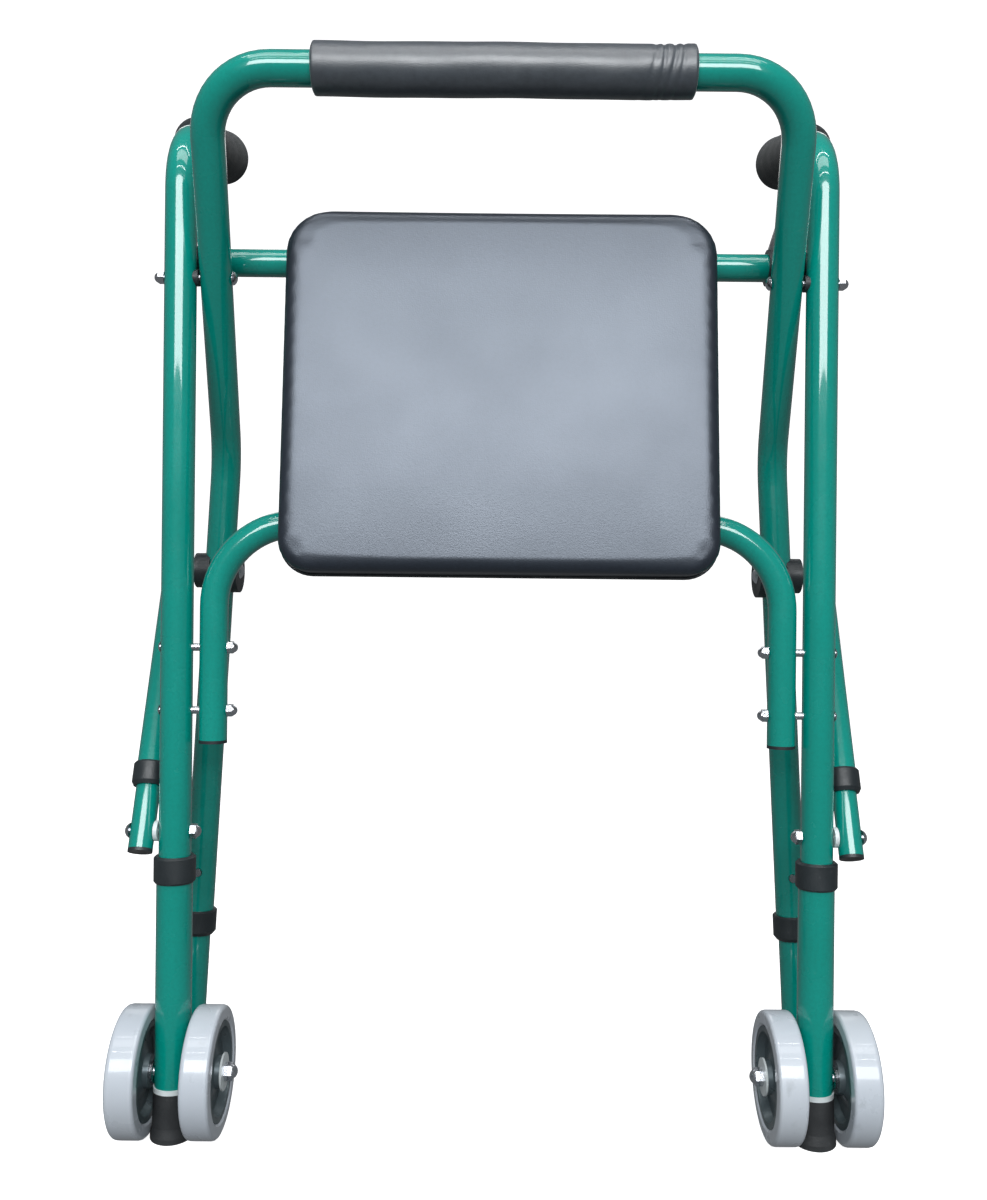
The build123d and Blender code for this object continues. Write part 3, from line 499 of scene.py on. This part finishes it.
WELT_RADIUS = 0.0014
WELT_INSET = 0.0006
WELT_FRONT = BOARD_FRONT + 0.0052


def make_seat_piping():
    """A thin welted seam round the side band, just in front of the board."""
    path = seat_outline(WELT_INSET)
    count = len(path)
    rings = []
    for i, (x, along) in enumerate(path):
        before, after = path[i - 1], path[(i + 1) % count]
        way = Vector((after[0] - before[0], after[1] - before[1])).normalized()
        outward = ACROSS * way.y - SEAT_UP * way.x
        rings.append(circle_ring(seat_point(x, along, WELT_FRONT), outward, SEAT_FRONT,
                                 WELT_RADIUS, 10))
    rings.append(rings[0])
    mesh = lofted("seat_piping", rings)
    bm = bmesh.new()
    bm.from_mesh(mesh)
    bmesh.ops.remove_doubles(bm, verts=bm.verts, dist=1e-6)
    bm.to_mesh(mesh)
    bm.free()
    return new_piece("seat_piping", mesh, "seat", "seat_vinyl", look=piping_vinyl())


# ------------------------------------------------------------- foam and grips


SLEEVE_BORE = 0.668  # share of the sleeve's radius
SLEEVE_ROLL = 0.0022  # rounding of the sleeve's ends
SLEEVE_LIP = 0.002  # how deep the bore starts inside the ends
SLEEVE_SKIN = 0.0005  # kept inside the solid, so that waves stay within it
SLEEVE_SIDES = 96
SLEEVE_STEPS = 260
# depth, distance from the right end, share of the bow, width
CREASES = (
    (0.0009, 0.013, 1.0, 0.0014),
    (0.0013, 0.020, 1.3, 0.0016),
    (0.0011, 0.026, 0.8, 0.0014),
    (0.0007, 0.034, 1.5, 0.0020),
)


def make_backrest_sleeve():
    """Skinned foam tube with rolled ends and a few creases at the right end."""
    low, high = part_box("backrest_foam")
    centre = (low + high) / 2
    radius = (high.z - low.z) / 2
    bore = radius * SLEEVE_BORE
    half = (high.x - low.x) / 2
    up, front = Vector((0, 0, 1)), Vector((0, -1, 0))

    def bore_ring(x):
        return circle_ring(Vector((x, centre.y, centre.z)), up, front, bore, SLEEVE_SIDES)

    rings = [bore_ring(-half + SLEEVE_LIP)]
    for step in range(SLEEVE_STEPS + 1):
        x = -half + 2 * half * step / SLEEVE_STEPS
        inside = SLEEVE_ROLL - min(x + half, half - x)  # positive along a rolled end
        rounding = 0.0
        if inside > 0:
            rounding = SLEEVE_ROLL - math.sqrt(max(SLEEVE_ROLL ** 2 - inside ** 2, 0.0))
        ring = []
        for i in range(SLEEVE_SIDES):
            angle = 2 * math.pi * i / SLEEVE_SIDES
            bow = 0.0035 * math.cos(angle - 0.6)
            depth = sum(deep * crease(x, half - place + bow * share, width)
                        for deep, place, share, width in CREASES)
            depth *= 0.55 + 0.45 * math.cos(angle - 1.0)
            wave = 0.0002 * math.sin(x * 41.0 + 2 * math.cos(angle))
            wave += 0.0001 * math.sin(x * 97.0 + 3 * angle)
            reach = radius - SLEEVE_SKIN - rounding - depth + wave
            ring.append(Vector((x, centre.y, centre.z))
                        + (up * math.cos(angle) + front * math.sin(angle)) * reach)
        rings.append(ring)
    rings.append(bore_ring(half - SLEEVE_LIP))
    mesh = lofted("backrest_sleeve", rings)
    sleeve = new_piece("backrest_sleeve", mesh, "rear_frame", "backrest_foam",
                       "backrest_foam")


HANDLE_WAY = math.radians(76.4)  # the handles' turn away from the front legs
HANDLE_CORNER = 0.1139  # above the main pivot, where leg and handle lines meet
GRIP_START, GRIP_END = 0.047, 0.156
GRIP_DOME = 0.019
GRIP_MOUTH = ((0.001, 0.0128), (0.0, 0.0150), (0.0004, 0.0180), (0.0022, 0.0198))
GRIP_SHOULDER = 0.0035  # where the mouth's roll ends
GRIP_STEPS = 46
DOME_STEPS = 12
RIB_PITCH = 0.021


def make_grip(name):
    """A closed foam grip: rolled mouth, slight waist, fuller towards its round end."""
    low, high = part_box(f"front_tube_{name}")
    way = LEG_BACK * math.sin(HANDLE_WAY) + LEG_UP * math.cos(HANDLE_WAY)
    over = LEG_UP * math.sin(HANDLE_WAY) - LEG_BACK * math.cos(HANDLE_WAY)
    length = GRIP_END - GRIP_START
    start = leg_point((low.x + high.x) / 2, 0, HANDLE_CORNER) + way * GRIP_START
    profile = list(GRIP_MOUTH)
    for step in range(GRIP_STEPS + 1):
        share = step / GRIP_STEPS
        along = GRIP_SHOULDER + (length - GRIP_DOME - GRIP_SHOULDER) * share
        full = 0.0201 + 0.0030 * share ** 2
        profile.append((along, full + 0.00012 * math.sin(along * 2 * math.pi / RIB_PITCH)))
    last = profile[-1][1]
    for step in range(1, DOME_STEPS):
        angle = math.radians(90 * step / DOME_STEPS)
        profile.append((length - GRIP_DOME * (1 - math.sin(angle)), last * math.cos(angle)))
    profile.append((length - 0.0001, 0.0014))
    profile.append((length - 0.0010, 0.0008))
    rings = [circle_ring(start + way * along, ACROSS, over, radius, 72)
             for along, radius in profile]
    mesh = lofted(f"hand_grip_{name}", rings, False, True)
    return new_piece(f"hand_grip_{name}", mesh, "front_frame", "black_foam")


def make_grips():
    grips = [make_grip(name) for name in ("left", "right")]
    for grip in grips:
        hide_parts("hand_grips")


# ----------------------------------------------------------- light and camera


def make_stage():
    """A pale floor that curves up into a pale wall, well behind the walker."""
    half_width, front, back, bend, height = 6.0, -6.0, 3.2, 1.2, 4.0
    bend_steps = 16
    outline = [(front, 0.0), (back, 0.0)]
    for step in range(1, bend_steps + 1):
        angle = math.radians(90 * step / bend_steps)
        outline.append((back + bend * math.sin(angle), bend - bend * math.cos(angle)))
    outline.append((back + bend, height))
    bm = bmesh.new()
    rows = [[bm.verts.new((x, y, z)) for x in (-half_width, half_width)] for y, z in outline]
    for near, far in zip(rows, rows[1:]):
        bm.faces.new((near[0], near[1], far[1], far[0]))
    mesh = bpy.data.meshes.new("studio_floor")
    bm.to_mesh(mesh)
    bm.free()
    for polygon in mesh.polygons:
        polygon.use_smooth = True
    floor = bpy.data.objects.new("studio_floor", mesh)
    bpy.context.scene.collection.objects.link(floor)
    floor.data.materials.append(studio_white())
    floor.visible_diffuse = False
    floor.visible_glossy = False


def add_softbox(name, place, target, width, height, watts, colour=(1, 1, 1)):
    data = bpy.data.lights.new(name, "AREA")
    data.shape = "RECTANGLE"
    data.size, data.size_y = width, height
    data.energy = watts
    data.color = colour
    light = bpy.data.objects.new(name, data)
    light.location = place
    light.rotation_euler = (Vector(target) - Vector(place)).to_track_quat("-Z", "Y").to_euler()
    light.visible_camera = False
    bpy.context.scene.collection.objects.link(light)


def light_scene():
    """A wide soft window in front, a ceiling panel, two strips and weak fill light."""
    world = bpy.data.worlds.new("studio")
    bpy.context.scene.world = world
    world.use_nodes = True
    background = world.node_tree.nodes["Background"]
    background.inputs["Color"].default_value = (0.94, 0.97, 1.0, 1.0)
    background.inputs["Strength"].default_value = 0.17
    middle = (0.0, 0.0, 0.6)
    add_softbox("window", (0.0, -2.9, 2.06), middle, 3.2, 1.25, 122.0, (0.96, 0.98, 1))
    add_softbox("ceiling_panel", (0.0, -0.9, 2.7), middle, 2.4, 0.6, 16.0)
    add_softbox("front_strip", (0.0, -1.7, 2.6), middle, 2.6, 0.04, 8.0)
    add_softbox("ceiling_strip", (0.0, -0.35, 2.7), middle, 2.6, 0.04, 8.0)
    add_softbox("back_fill", (0.0, 2.4, 1.9), middle, 2.4, 1.0, 10.0)


FOCAL_LENGTH = 34.5
CAMERA_DISTANCE = 0.905  # from the plane of the front legs
CAMERA_DROP = 0.251  # below the main pivot, along the front legs
CAMERA_OFFSET = -0.0038
CAMERA_ROLL = math.radians(0.57)


def place_camera():
    """Square to the front legs, with the slight roll of a hand-held camera."""
    data = bpy.data.cameras.new("camera")
    data.lens = FOCAL_LENGTH
    data.sensor_width = 36.0
    data.sensor_fit = "AUTO"
    camera = bpy.data.objects.new("camera", data)
    bpy.context.scene.collection.objects.link(camera)
    axes = Matrix((ACROSS, LEG_UP, -LEG_BACK)).transposed()
    turned = axes @ Matrix.Rotation(CAMERA_ROLL, 3, "Z")
    place = leg_point(CAMERA_OFFSET, -CAMERA_DISTANCE, -CAMERA_DROP)
    camera.matrix_world = Matrix.Translation(place) @ turned.to_4x4()
    bpy.context.scene.camera = camera


# ----------------------------------------------------------------------- main

dress_cad_nodes()
make_seat_cushion()
make_seat_piping()
make_backrest_sleeve()
make_grips()
make_stage()
light_scene()
place_camera()
bpy.context.scene.view_settings.view_transform = "Standard"
